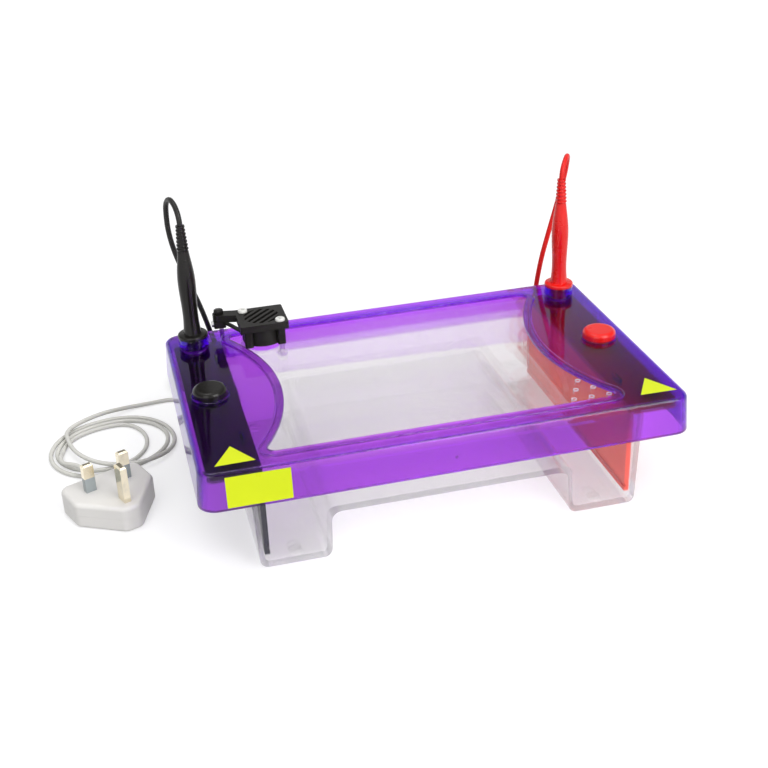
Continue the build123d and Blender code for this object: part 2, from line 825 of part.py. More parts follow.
plug_face = plug_plane.offset(plug_height)
with BuildPart() as plug_pins:
    with BuildSketch(plug_face):
        with GridLocations(line_pin_pitch, 0, 2, 1):
            Rectangle(line_pin_width - 2 * sleeve_wall, line_pin_depth - 2 * sleeve_wall)
    extrude(amount=sleeve_length)
    with BuildSketch(plug_face.offset(sleeve_length)):
        with GridLocations(line_pin_pitch, 0, 2, 1):
            Rectangle(line_pin_width, line_pin_depth)
    extrude(amount=line_pin_length - sleeve_length)
    with BuildSketch(plug_face):
        with Locations((0, -earth_pin_offset)):
            Rectangle(earth_pin_width, earth_pin_depth)
    extrude(amount=earth_pin_length)
    chamfer(plug_pins.faces().filter_by(Axis.Z).group_by(Axis.Z)[-1].edges(), 0.9)
    chamfer(plug_pins.faces().filter_by(Axis.Z).group_by(Axis.Z)[-2].edges(), 0.9)
finish(plug_pins, "plug_pins")

with BuildPart() as plug_pin_sleeves:
    with BuildSketch(plug_face):
        with GridLocations(line_pin_pitch, 0, 2, 1):
            Rectangle(line_pin_width, line_pin_depth)
            Rectangle(line_pin_width - 2 * sleeve_wall, line_pin_depth - 2 * sleeve_wall, mode=Mode.SUBTRACT)
    extrude(amount=sleeve_length)
finish(plug_pin_sleeves, "plug_pin_sleeves")

plug_axis = plug_height / 2
cord_way = Vector(-sin(radians(plug_turn)), cos(radians(plug_turn)), 0)
relief_start = Vector(plug_x, plug_y, plug_axis) + cord_way * plug_back
relief_end = relief_start + cord_way * relief_length
with BuildPart() as plug_relief:
    with BuildSketch(Plane(origin=relief_start, z_dir=cord_way)):
        Circle(relief_base_radius)
    with BuildSketch(Plane(origin=relief_end, z_dir=cord_way)):
        Circle(fan_cord_radius + 0.3)
    loft()
finish(plug_relief, "plug_relief")


def bend_radii(points):
    """Radius of the arc at each corner: as large as its two runs allow."""
    spots = [Vector(*point) for point in points]
    runs = [after - before for before, after in zip(spots, spots[1:])]
    room = [0.45 * run.length for run in runs]
    room[0], room[-1] = 2 * room[0], 2 * room[-1]
    corners = zip(runs, runs[1:], room, room[1:])
    return [min(space) / tan(radians(run.get_angle(following)) / 2) for run, following, *space in corners]


def cord_tube(points, radius, name):
    """Tube on straight runs and tangent arcs. Prints its radii and how its volume fits its length."""
    radii = bend_radii(points)
    with BuildPart() as tube:
        with BuildLine() as route:
            FilletPolyline(*points, radius=radii)
        path = route.wire()
        with BuildSketch(Plane(origin=path @ 0, z_dir=path % 0)):
            Circle(radius)
        sweep()
    share = tube.part.volume / (pi * radius**2 * path.length)
    print(name, "radii", [round(r, 1) for r in radii], "length", round(path.length, 1), "fill", round(share, 4))
    return tube


def biarc(start, start_way, end, end_way):
    """Two arcs, tangent to each other and to both ends."""
    across = end - start
    both = start_way + end_way
    square = 2 * (start_way.dot(end_way) - 1)
    if abs(square) < 1e-9:
        reach = across.length**2 / (2 * across.dot(both))
    else:
        half = across.dot(both)
        reach = (half - sqrt(half**2 - square * across.length**2)) / square
    first, second = start + start_way * reach, end - end_way * reach
    joint, way = (first + second) * 0.5, (second - first).normalized()
    TangentArc(start, joint, tangent=start_way)
    TangentArc(joint, end, tangent=way)


def least_gap(line, radius, skip):
    """Least distance between two stretches of a tube that lie further than skip apart along it."""
    count = int(line.length / (radius * 0.8))
    spots = [line.position_at(step / count) for step in range(count + 1)]
    apart = int(skip / (line.length / count)) + 1
    nearest = min(
        (spots[i] - spots[j]).length for i in range(count + 1) for j in range(i + apart, count + 1)
    )
    return nearest - 2 * radius


def wound_cord(stations, radius, name):
    """One unbroken tube through stations, each a place and a way, on pairs of tangent arcs."""
    with BuildPart() as tube:
        with BuildLine() as route:
            for (start, start_way), (end, end_way) in zip(stations, stations[1:]):
                if (end - start).get_angle(start_way) < 0.01:
                    Line(start, end)
                else:
                    biarc(start, start_way, end, end_way)
        path = route.wire()
        with BuildSketch(Plane(origin=path @ 0, z_dir=path % 0)):
            Circle(radius)
        sweep()
    share = tube.part.volume / (pi * radius**2 * path.length)
    gap = least_gap(path, radius, 8 * radius)
    print(name, "length", round(path.length, 1), "least gap", round(gap, 2), "fill", round(share, 4))
    return tube


def routed(points, x, y, z=0):
    """Route points, given from a place, on the bench's own axes."""
    return [(x + dx, y + dy, z + dz) for dx, dy, dz in points]


# Routes of the leads: up from the connector's tip and over, then down behind the tank to the bench
black_rise = routed([
    (0, 0, 0), (0, 0, 3.6), (-0.8, 3, 9.2), (-2.3, 8.9, 12.4), (-3.9, 15.1, 12), (-5.2, 20.3, 8.2),
    (-5.8, 22.9, 2), (-5.9, 23.2, -11), (-3.2, 24, -27), (3, 25, -47), (9.5, 26.4, -67),
], -contact_x, contact_y, handle_tip)
black_fall = routed([
    (16, 28.4, 50), (21.6, 30.6, 27), (25.2, 33.2, 14.4), (27.2, 38.6, 6),
    (28, 47, lead_on_bench), (28.3, 59, lead_on_bench), (27.4, 72, lead_on_bench),
], -contact_x, contact_y)
red_rise = routed([
    (0, 0, 0), (0, 0, 3.1), (2, 2.4, 8.1), (5.2, 6.8, 11), (8.3, 12.1, 11), (10.6, 17.1, 8),
    (11.4, 20.2, 2.8), (10.6, 21.6, -6), (6.8, 24.7, -27), (1.8, 26, -47), (-2.8, 27.2, -67),
], contact_x, contact_y, handle_tip)
red_fall = routed([
    (-6.2, 29.2, 50), (-6.8, 31.2, 27), (-6, 33.6, 14.2), (-5.2, 38.8, 6), (-5, 46.2, lead_on_bench),
], contact_x, contact_y)

# Route of the fan cord, from the clamp's rear face
clamp_rear = ear_apex_y + clamp_half
fan_cord_rise = routed([(2.1, 0, -2.3), (2.1, 6.3, -2.3), (2.4, 13.4, -6.3), (3, 18.1, -13.9)],
                       ear_apex_x, clamp_rear, fan_top)
fan_cord_fall = routed([
    (3.2, 19.1, 50), (2.8, 18.7, 34), (0.6, 18.5, 20), (-4, 20.1, 9.6), (-10, 24.5, 3.4),
    (-15, 31.7, fan_cord_on_bench), (-19.2, 40.4, fan_cord_on_bench), (-24.6, 47.9, fan_cord_on_bench),
    (-32.9, 52.7, fan_cord_on_bench),
], ear_apex_x, clamp_rear)


def split_point(above, below):
    """Where a cord passes from the lid to the bench side: halfway along one straight run."""
    return tuple((a + b) / 2 for a, b in zip(above, below))


def lead_stations(start, way):
    """Coil in four layers that starts along +Y and lies to one side of its start, as way tells."""
    centre = start + Vector(way * coil_radii[0], 0, 0)
    stations = [(start - Vector(0, 2 * lead_radius, 0), Vector(0, 1, 0))]
    for half, (turn_radius, layer) in enumerate(zip(coil_radii, coil_layers)):
        across = -1 if half % 2 == 0 else 1
        place = centre + Vector(across * way * turn_radius, 0, layer * winding_pitch)
        stations.append((place, Vector(0, -across, 0)))
    on_top = coil_layers[-1] * winding_pitch + lead_radius + far_plug_radius + bench_gap
    tail = centre + Vector(-way * tail_offset, 0, on_top)
    stations.append((tail, Vector(0, 1, 0)))
    stations.append((tail + Vector(0, 2 * lead_radius, 0), Vector(0, 1, 0)))
    return stations


def far_plug(start):
    """Shrouded plug body with its tapered tail, lying along +Y from start."""
    shoulder = start + Vector(0, far_tail_length, 0)
    mouth = Plane(origin=shoulder + Vector(0, far_plug_length, 0), z_dir=(0, -1, 0))
    with BuildPart() as body:
        with BuildSketch(Plane(origin=shoulder, z_dir=(0, 1, 0))):
            Circle(far_plug_radius)
        extrude(amount=far_plug_length)
        fillet(body.edges().filter_by(GeomType.CIRCLE), far_plug_radius * 0.15)
        with BuildSketch(Plane(origin=start, z_dir=(0, 1, 0))):
            Circle(lead_radius + 0.5)
        with BuildSketch(Plane(origin=shoulder, z_dir=(0, 1, 0))):
            Circle(far_plug_radius * 0.75)
        loft()
        with BuildSketch(mouth):
            Circle(far_plug_radius - far_shroud_wall)
            Circle(pin_radius + fit_clearance, mode=Mode.SUBTRACT)
        extrude(amount=far_shroud_length, mode=Mode.SUBTRACT)
        with BuildSketch(mouth):
            Circle(pin_radius + fit_clearance)
        extrude(amount=far_pin_length, mode=Mode.SUBTRACT)
    return body


def far_pin(start):
    """Sprung pin inside the shroud of the far plug."""
    tip = start + Vector(0, far_tail_length + far_plug_length - bench_gap, 0)
    with BuildPart() as pin:
        with BuildSketch(Plane(origin=tip, z_dir=(0, -1, 0))):
            Circle(pin_radius)
        extrude(amount=far_pin_length - bench_gap)
    return pin


for (side, colour), rise, fall in zip(SIDES, (black_rise, red_rise), (black_fall, red_fall)):
    split = split_point(rise[-1], fall[0])
    hand_over = Vector(*fall[-1]) + Vector(0, landing_run, 0)
    coil_start = hand_over + Vector(0, 2 * lead_radius, 0)
    finish(cord_tube([*rise, split], lead_radius, f"{colour} upper"), f"{colour}_lead_upper")
    finish(cord_tube([split, *fall, tuple(hand_over)], lead_radius, f"{colour} lower"), f"{colour}_lead_lower")
    stations = lead_stations(coil_start, side)
    finish(wound_cord(stations, lead_radius, f"{colour} coil"), f"{colour}_lead_coil")
    finish(far_plug(stations[-1][0]), f"{colour}_far_plug")
    finish(far_pin(stations[-1][0]), f"{colour}_far_pin")

# Fan cord: from the clamp down behind the tank, and in loose loops to the plug
fan_split = split_point(fan_cord_rise[-1], fan_cord_fall[0])
[loops_start] = routed([(-43.4, 52, fan_cord_on_bench)], ear_apex_x, clamp_rear)
finish(cord_tube([*fan_cord_rise, fan_split], fan_cord_radius, "fan_cord_upper"), "fan_cord_upper")
finish(cord_tube([fan_split, *fan_cord_fall, loops_start], fan_cord_radius, "fan_cord_lower"), "fan_cord_lower")

low, high = fan_cord_on_bench, fan_cord_on_bench + fan_loop_rise
left, near, right, far = Vector(0, -1, 0), Vector(1, 0, 0), Vector(0, 1, 0), Vector(-1, 0, 0)
loop_extremes = [
    (-86.9, 36.7, high, Vector(-0.88, -0.475, 0)),
    (-103.6, 16.1, high, left), (-65.4, -31.9, high, near), (-35.8, 0.1, low, right), (-71.4, 37.5, low, far),
    (-115, -0.9, low, left), (-86.4, -33.9, low, near), (-39.7, 1.1, low, right), (-71.4, 32.7, low, far),
    (-110.9, 0.1, low, left), (-81.4, -28, low, near), (-53.4, 1.1, low, right), (-71.4, 28.1, low, far),
    (-106.8, 2.1, low, left), (-108, -10.9, high, left),
]
loops = [(Vector(*loops_start), (Vector(*loops_start) - Vector(*fan_cord_fall[-1])).normalized())]
loops += [(Vector(ear_apex_x + x, clamp_rear + y, z), way) for x, y, z, way in loop_extremes]
loops.append((relief_end + cord_way * 2 * fan_cord_radius, -cord_way))
loops.append((relief_end, -cord_way))
finish(wound_cord(loops, fan_cord_radius, "fan_cord_loops"), "fan_cord_loops")
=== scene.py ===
import json
from math import cos, floor, pi, radians, sin, sqrt

import bmesh
import bpy
from mathutils import Matrix, Vector


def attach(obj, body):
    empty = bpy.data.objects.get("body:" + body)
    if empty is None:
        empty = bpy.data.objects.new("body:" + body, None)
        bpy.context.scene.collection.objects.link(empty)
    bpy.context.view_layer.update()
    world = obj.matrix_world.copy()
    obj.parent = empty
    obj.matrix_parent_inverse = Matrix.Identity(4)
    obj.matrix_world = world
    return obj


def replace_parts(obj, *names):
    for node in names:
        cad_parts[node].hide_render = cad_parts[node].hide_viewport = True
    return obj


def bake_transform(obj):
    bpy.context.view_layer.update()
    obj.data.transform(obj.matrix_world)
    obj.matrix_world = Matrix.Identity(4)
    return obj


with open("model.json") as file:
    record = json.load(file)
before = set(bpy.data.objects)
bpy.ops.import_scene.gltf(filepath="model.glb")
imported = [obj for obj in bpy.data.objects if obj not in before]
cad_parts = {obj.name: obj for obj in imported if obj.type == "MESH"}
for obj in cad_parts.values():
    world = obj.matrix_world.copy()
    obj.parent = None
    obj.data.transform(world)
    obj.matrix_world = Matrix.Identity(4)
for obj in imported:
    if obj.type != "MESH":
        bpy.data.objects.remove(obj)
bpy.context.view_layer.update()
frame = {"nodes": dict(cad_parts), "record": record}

nodes = frame["nodes"]
MM = 0.001


def set_up(name, data):
    """A new object in the scene, at the origin."""
    made = bpy.data.objects.new(name, data)
    bpy.context.scene.collection.objects.link(made)
    return made


# Camera, solved from the photograph
def place_camera():
    """Camera at the photograph's view, in metres and radians."""
    yaw, pitch, roll = 0.23403, 0.479852, -0.042354
    stand = (-0.167728, -0.632790, 0.396111)
    focal_pixels, photo_pixels, sensor_width = 1239.99, 768, 36
    ahead = Vector((sin(yaw) * cos(pitch), cos(yaw) * cos(pitch), -sin(pitch)))
    level = Vector((cos(yaw), -sin(yaw), 0))
    above = level.cross(ahead)
    right = level * cos(roll) + above * sin(roll)
    up = above * cos(roll) - level * sin(roll)
    data = bpy.data.cameras.new("Camera")
    camera = set_up("Camera", data)
    turn = Matrix((right, up, -ahead)).transposed().to_4x4()
    camera.matrix_world = Matrix.Translation(stand) @ turn
    data.sensor_width = sensor_width
    data.lens = focal_pixels / photo_pixels * sensor_width
    data.clip_start, data.clip_end = 0.01, 30
    bpy.context.scene.camera = camera


place_camera()
bpy.context.scene.view_settings.view_transform = "Standard"


# Shader arithmetic: signs between values add Math nodes
class Value:
    """A socket that joins in arithmetic."""

    def __init__(self, graph, socket):
        self.graph, self.socket = graph, socket

    def _math(self, operation, *terms):
        return self.graph.node("ShaderNodeMath", {"operation": operation}, *terms)

    def __add__(self, other):
        return self._math("ADD", self, other)

    def __sub__(self, other):
        return self._math("SUBTRACT", self, other)

    def __rsub__(self, other):
        return self._math("SUBTRACT", other, self)

    def __mul__(self, other):
        return self._math("MULTIPLY", self, other)

    def __truediv__(self, other):
        return self._math("DIVIDE", self, other)

    def __pow__(self, other):
        return self._math("POWER", self, other)

    def __abs__(self):
        return self._math("ABSOLUTE", self)

    def __floor__(self):
        return self._math("FLOOR", self)

    __radd__, __rmul__ = __add__, __mul__

    def at_least(self, other):
        """The larger of the two."""
        return self._math("MAXIMUM", self, other)

    def between(self, low, high):
        """0 below low, 1 above high, smooth in between."""
        return self.graph.node(
            "ShaderNodeMapRange", {"interpolation_type": "SMOOTHSTEP"}, self, low, high, 0.0, 1.0
        )


class Graph:
    """A node tree that nodes are added to."""

    def __init__(self, tree):
        self.tree = tree

    def node(self, kind, settings, *values, out=0, **named):
        """Adds a node: its settings first, then values or links for its sockets."""
        made = self.tree.nodes.new(kind)
        for key, value in settings.items():
            setattr(made, key, value)
        for socket, value in zip(made.inputs, values):
            self.feed(socket, value)
        for key, value in named.items():
            self.feed(made.inputs[key.replace("_", " ")], value)
        return Value(self, made.outputs[out])

    def feed(self, socket, value):
        if isinstance(value, Value):
            self.tree.links.new(value.socket, socket)
        else:
            socket.default_value = value

    def end(self, result, socket):
        """Links a result to a socket of the tree's output."""
        output = next(node for node in self.tree.nodes if "OUTPUT" in node.type)
        self.tree.links.new(result.socket, output.inputs[socket])


class Finish(Graph):
    """One material: a Principled shader and the nodes that feed it."""

    def __init__(self, name, colour, **constants):
        self.material = bpy.data.materials.new(name)
        self.material.use_nodes = True
        super().__init__(self.material.node_tree)
        self.shader = self.tree.nodes["Principled BSDF"]
        self.set(Base_Color=(*colour, 1.0), **constants)
        self.place = self.node("ShaderNodeTexCoord", {}, out="Object")

    def set(self, **sockets):
        for key, value in sockets.items():
            self.feed(self.shader.inputs[key.replace("_", " ")], value)

    def axis(self, letter):
        """One object coordinate, in metres."""
        return self.node("ShaderNodeSeparateXYZ", {}, self.place, out=letter)

    def distance(self, spot):
        """How far the surface is from a spot, in metres."""
        return self.node("ShaderNodeVectorMath", {"operation": "DISTANCE"}, self.place, spot, out="Value")

    def thinned(self, share, colour):
        """Lets this share of the light straight through, in this colour."""
        clear = self.node("ShaderNodeBsdfTransparent", {}, (*colour, 1.0))
        plastic = Value(self, self.shader.outputs[0])
        self.end(self.node("ShaderNodeMixShader", {}, share, plastic, clear), "Surface")

    def deepened(self, colour, density):
        """Colour that deepens with the thickness the light passes."""
        self.end(self.node("ShaderNodeVolumeAbsorption", {}, (*colour, 1.0), density), "Volume")

    def stretched(self, scale, turn=(0, 0, 0)):
        """Object coordinates, scaled and turned."""
        return self.node("ShaderNodeMapping", {}, self.place, Scale=scale, Rotation=turn)

    def noise(self, scale, detail, roughness=0.5, place=None):
        return self.node(
            "ShaderNodeTexNoise", {}, Vector=place or self.place, Scale=scale, Detail=detail,
            Roughness=roughness,
        )

    def mix(self, amount, first, second):
        """Colour mix: first where amount is 0, second where it is 1."""
        made = self.node("ShaderNodeMix", {"data_type": "RGBA"}, amount, out=2)
        colours = [socket for socket in made.socket.node.inputs if socket.type == "RGBA"]
        for socket, value in zip(colours, (first, second)):
            self.feed(socket, value if isinstance(value, Value) else (*value, 1.0))
        return made

    def softened(self, radius):
        """Normals that round the moulded edges."""
        return self.node("ShaderNodeBevel", {"samples": 4}, Radius=radius)

    def bump(self, height, distance, strength, under=None):
        """Normals raised by a height, over softened ones where under is given."""
        extra = {"Normal": under} if under else {}
        return self.node("ShaderNodeBump", {}, Height=height, Distance=distance, Strength=strength, **extra)


# Finishes: colours are linear, and lengths in metres
def lid_painted_shade_and_gate(finish, colour):
    """Violet with painted shade: deeper in the skirt and at both ends. The gate mark in front is the
    moulding's own.
    """
    skirt_painted_shade, ends_painted_shade, gate_colour = (0.60, 0.15, 0.93), (0.38, 0.10, 0.64), (0.10, 0.02, 0.20)
    skirt_top, plate_bottom = 0.0615, 0.0665
    ends_begin, ends_full, ends_shade_share = 0.095, 0.128, 0.85
    gate_spot, gate_radius, gate_fade = (0.0001, -0.0892, 0.055), 0.0006, 0.0005
    # Painted shade: the skirt and both ends take a deeper violet than the top, standing in for the shade that
    # they get.
    skirt_shaded = finish.mix(finish.axis("Z").between(skirt_top, plate_bottom), skirt_painted_shade, colour)
    ends_shade_mask = abs(finish.axis("X")).between(ends_begin, ends_full) * ends_shade_share
    ends_shaded = finish.mix(ends_shade_mask, skirt_shaded, ends_painted_shade)
    off_gate = finish.distance(gate_spot).between(gate_radius, gate_radius + gate_fade)
    return finish.mix(off_gate, gate_colour, ends_shaded)


def clear_moulding(
    name, colour, haze, grain, wear=0.5, edge=None, milk=0.0, straight=0.5, bend=1.08, depth=None, painted_shade_tint=None
):
    """See-through moulded plastic with wiping marks, dust haze and a faint skin."""
    finish = Finish(name, colour, Transmission_Weight=1.0 - milk, IOR=bend, Coat_IOR=1.4, Coat_Roughness=0.05)
    smear = finish.noise(9.0, 4.0, 0.55, finish.stretched((1.0, 2.6, 1.0), (0, 0, 0.5)))
    specks = finish.noise(260.0, 2.0).between(0.62, 0.74)
    skin = finish.noise(grain, 2.0)
    finish.set(
        Roughness=haze + smear.between(0.45, 0.75) * (0.07 * wear) + specks * (0.1 * wear),
        Coat_Weight=1.0 - smear * 0.15,
        Normal=finish.bump(skin, 0.00003, 0.25, finish.softened(edge) if edge else None),
    )
    finish.thinned(straight, [sqrt(part) for part in colour])
    if depth:
        finish.deepened(*depth)
    # The lid's tint function paints shade into its base colour: a deeper violet skirt and deeper ends.
    if painted_shade_tint:
        finish.set(Base_Color=painted_shade_tint(finish, colour))
    return finish.material


def solid_plastic(
    name, colour, second, roughness, grain=700.0, depth=0.00004, coat=0.0, edge=0.0004, gleam=0.5
):
    """Opaque moulded plastic: fine grain, slight colour drift, rubbed patches."""
    finish = Finish(name, colour, IOR=1.48, Coat_Roughness=0.08, Specular_IOR_Level=gleam)
    drift = finish.noise(22.0, 4.0)
    rubbed = finish.noise(60.0, 5.0, 0.6).between(0.5, 0.72)
    finish.set(
        Base_Color=finish.mix(drift.between(0.3, 0.7), colour, second),
        Roughness=roughness - rubbed * (roughness * 0.28) + drift * 0.04,
        Coat_Weight=coat * (1 - rubbed * 0.4) if coat else 0.0,
        Normal=finish.bump(finish.noise(grain, 2.0), depth, 0.35, finish.softened(edge)),
    )
    return finish.material


def cassette_sheet(name, colour, top, gleam):
    """Smooth cassette sheet, with painted light and shade on its top plate under the lid: a second colour
    there, darker on the red sheet and lighter on the black one.
    """
    finish = Finish(name, colour, IOR=1.48, Specular_IOR_Level=gleam)
    drift = finish.noise(22.0, 4.0)
    # Painted light and shade: the top plate under the lid takes the second colour.
    painted_top_mask = finish.axis("Z").between(0.0575, 0.0605)
    finish.set(
        Base_Color=finish.mix(painted_top_mask * 0.9 + drift * 0.1, colour, top),
        Roughness=0.22 + drift * 0.08,
        Normal=finish.bump(finish.noise(300.0, 2.0), 0.00002, 0.35, finish.softened(0.0004)),
    )
    return finish.material


def turned_metal(name, colour, second, roughness, lines=2400.0):
    """Turned or drawn metal with fine lines round its axis and a little tarnish."""
    finish = Finish(name, colour, Metallic=1.0)
    cuts = finish.noise(1.0, 2.0, place=finish.stretched((40, 40, lines)))
    tarnish = finish.noise(130.0, 4.0).between(0.45, 0.8)
    finish.set(
        Base_Color=finish.mix(tarnish, colour, second),
        Roughness=roughness + tarnish * 0.15 + cuts * 0.06,
        Normal=finish.bump(cuts, 0.00002, 0.3, finish.softened(0.0002)),
    )
    return finish.material


def plug_shell(name, colour, second, seam):
    """Satin plug shell with the moulds' parting line round it, at the seam's height."""
    line_width = 0.00025
    finish = Finish(name, colour, IOR=1.48, Roughness=0.36)
    drift = finish.noise(22.0, 4.0)
    height = finish.axis("Z")
    line = height.between(seam - line_width, seam) - height.between(seam, seam + line_width)
    finish.set(
        Base_Color=finish.mix(drift.between(0.3, 0.7), colour, second),
        Normal=finish.bump(finish.noise(800.0, 2.0) * 0.1 - line, 0.0003, 0.5, finish.softened(0.0012)),
    )
    return finish.material


def drawn_sheath(name, colour, second, roughness, gleam):
    """Extruded cord skin: faint drift in colour and handling marks."""
    finish = Finish(name, colour, IOR=1.47, Specular_IOR_Level=gleam)
    drift = finish.noise(35.0, 4.0)
    marks = finish.noise(300.0, 3.0).between(0.55, 0.75)
    finish.set(
        Base_Color=finish.mix(drift.between(0.35, 0.7) * 0.8 + marks * 0.2, colour, second),
        Roughness=roughness + marks * 0.12,
        Normal=finish.bump(finish.noise(900.0, 2.0), 0.00003, 0.3),
    )
    return finish.material


paint = {
    "clear_tank": clear_moulding(
        "Clear tank moulding", (0.975, 0.97, 0.97), 0.008, 420.0, wear=0.4, edge=0.0006, milk=0.01,
        straight=0.45, bend=1.22, depth=((0.47, 0.46, 0.52), 12.0),
    ),
    "violet_lid": clear_moulding(
        "Violet lid moulding", (0.84, 0.37, 1.0), 0.008, 380.0, wear=0.4, edge=0.001, straight=0.25,
        bend=1.25, depth=((0.66, 0.0, 0.96), 300.0), painted_shade_tint=lid_painted_shade_and_gate,
    ),
    "clear_pane": clear_moulding("Clear pane", (0.94, 0.93, 0.935), 0.012, 250.0, milk=0.03),
    "frosted_bore": clear_moulding(
        "Frosted bore", (0.97, 0.95, 0.99), 0.4, 700.0, milk=0.45, straight=0.3
    ),
    "clear_bumper": clear_moulding(
        "Clear bumper", (0.98, 0.975, 0.98), 0.06, 500.0, milk=0.1, straight=0.8
    ),
    "clear_nylon": clear_moulding("Natural nylon", (0.93, 0.92, 0.95), 0.3, 400.0),
    "black_plastic": solid_plastic(
        "Black connector plastic", (0.006, 0.005, 0.004), (0.010, 0.009, 0.008), 0.24, coat=0.1, gleam=0.25
    ),
    "red_plastic": solid_plastic(
        "Red connector plastic", (0.74, 0.007, 0.004), (0.68, 0.006, 0.003), 0.26, coat=0.2, gleam=0.35
    ),
    "matt_black": solid_plastic(
        "Matt black fan plastic", (0.009, 0.008, 0.007), (0.015, 0.014, 0.012), 0.45, grain=900.0,
        depth=0.00008, gleam=0.25,
    ),
    "white_nylon": solid_plastic(
        "White nylon", (0.74, 0.74, 0.71), (0.66, 0.66, 0.63), 0.42, grain=500.0
    ),
    "relief_plastic": solid_plastic(
        "White relief plastic", (0.80, 0.79, 0.76), (0.76, 0.75, 0.72), 0.38, grain=800.0
    ),
    "grey_sleeve": solid_plastic(
        "Grey pin sleeve", (0.36, 0.40, 0.41), (0.31, 0.35, 0.36), 0.30, edge=0.0005
    ),
    "yellow_label": solid_plastic(
        "Yellow label film", (0.64, 0.74, 0.006), (0.60, 0.70, 0.005), 0.30, grain=900.0, depth=0.00001,
        edge=0.0001, gleam=0.3,
    ),
    "rubber": solid_plastic(
        "Black ring rubber", (0.015, 0.015, 0.016), (0.022, 0.022, 0.022), 0.6, grain=1200.0
    ),
    # The sheets' second colours are painted: painted shade on the red top plate, painted light on the black
    # one.
    "red_sheet": cassette_sheet("Red cassette sheet", (0.97, 0.10, 0.065), (0.40, 0.012, 0.012), 0.25),
    "black_sheet": cassette_sheet(
        "Black cassette sheet", (0.008, 0.008, 0.022), (0.055, 0.030, 0.022), 0.2
    ),
    "white_plastic": plug_shell("White plug shell", (0.77, 0.755, 0.73), (0.73, 0.715, 0.69), 0.0081),
    "brass": turned_metal("Turned brass", (0.82, 0.62, 0.30), (0.62, 0.45, 0.2), 0.22),
    "plug_brass": turned_metal("Plug pin brass", (0.88, 0.80, 0.62), (0.74, 0.68, 0.54), 0.12, 600.0),
    "steel": turned_metal("Turned steel", (0.62, 0.62, 0.63), (0.5, 0.5, 0.51), 0.25),
    "platinum": turned_metal("Platinum wire", (0.72, 0.71, 0.69), (0.6, 0.6, 0.58), 0.2),
    "black_lead": drawn_sheath(
        "Black lead silicone", (0.009, 0.009, 0.008), (0.016, 0.015, 0.014), 0.42, 0.35
    ),
    "red_lead": drawn_sheath("Red lead silicone", (0.74, 0.012, 0.008), (0.66, 0.009, 0.006), 0.42, 0.35),
    "white_cord": drawn_sheath("White cord sheath", (0.70, 0.695, 0.65), (0.64, 0.635, 0.59), 0.40, 0.5),
}


def wear_finish(piece, finish):
    piece.data.materials.clear()
    piece.data.materials.append(paint[finish])


for entry in frame["record"]["subparts"]:
    wear_finish(nodes[entry["node"]], entry["material_slot"])
wear_finish(nodes["black_cassette"], "black_sheet")
wear_finish(nodes["plug_pins"], "plug_brass")
wear_finish(nodes["plug_pin_sleeves"], "grey_sleeve")
wear_finish(nodes["plug_relief"], "relief_plastic")
for hidden in ("fan_spacers", "fan_nuts"):
    wear_finish(nodes[hidden], "clear_nylon")


def add_piece(name, mesh, body, finish):
    """Names a finished mesh, gives it its material and lets it ride on its body."""
    mesh.name = name
    piece = set_up(name, mesh)
    wear_finish(piece, finish)
    if body:
        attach(piece, body)
    return piece


def smooth(mesh, angle=40):
    """Smooth faces, with edges sharper than the angle kept crisp."""
    mesh.shade_smooth()
    mesh.set_sharp_from_angle(angle=radians(angle))
    return mesh


def plain_mesh(holder):
    """Mesh of an object with its modifiers or its curve worked out."""
    depsgraph = bpy.context.evaluated_depsgraph_get()
    return bpy.data.meshes.new_from_object(holder.evaluated_get(depsgraph))


# Cords: routes in millimetres, the same points as the part's
def route_line(points, name):
    """Smooth curve with the points as its control points."""
    curve = bpy.data.curves.new(name, "CURVE")
    curve.dimensions = "3D"
    spline = curve.splines.new("NURBS")
    spline.points.add(len(points) - 1)
    for spot, point in zip(spline.points, points):
        spot.co = (*[part * MM for part in point], 1.0)
    spline.order_u = 3
    spline.use_endpoint_u = True
    curve.resolution_u = 5
    return curve


def tube(points, radius, name):
    """Round tube on a smooth route, and the points of its middle line."""
    curve = route_line(points, name)
    holder = set_up(name, curve)
    path = [tuple(vertex.co) for vertex in plain_mesh(holder).vertices]
    curve.bevel_depth = radius * MM
    curve.bevel_resolution = 3
    curve.use_fill_caps = True
    mesh = plain_mesh(holder)
    bpy.data.objects.remove(holder)
    return smooth(mesh, 60), path


def add_cord(name, points, radius, bodies, heights, finish, stands_for, **facts):
    """Cord: a round tube on its route, in place of the part's pieces that it stands for."""
    mesh, path = tube(points, radius, name)
    cord = add_piece(name, mesh, None, finish)
    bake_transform(cord)
    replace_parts(cord, *stands_for)


def half_turns(centre, way, radii, levels, steps=8):
    """Coil: half circles between the radii on its two sides, each with its own level."""
    spots = []
    for half, (near, far) in enumerate(zip(radii, radii[1:])):
        sign = -1 if half % 2 == 0 else 1
        low, high = levels[half], levels[half + 1]
        for step in range(steps):
            angle = pi * step / steps
            reach, shift = (near + far) / 2, (far - near) / 2
            x = sign * (reach * cos(angle) - shift)
            level = low + (high - low) * (1 - cos(angle)) / 2
            spots.append((centre[0] + way * x, centre[1] - sign * reach * sin(angle), level))
    return spots


lead_radius = 1.65
lead_bend_heights = (30, 100)
coil_radii = (20.3, 19.1, 16.3, 13.4, 12.8, 16.4, 16.9, 20.6, 20.0, 18.1, 15.9, 14.2, 12.1, 15.6, 5.0)
coil_layers = (0, 0, 0, 0, 1, 1, 1, 1, 2, 2, 2, 2, 3, 3)
coil_bottom, layer_height, coil_top = 1.75, 3.85, 19.85
run_in = 9.9


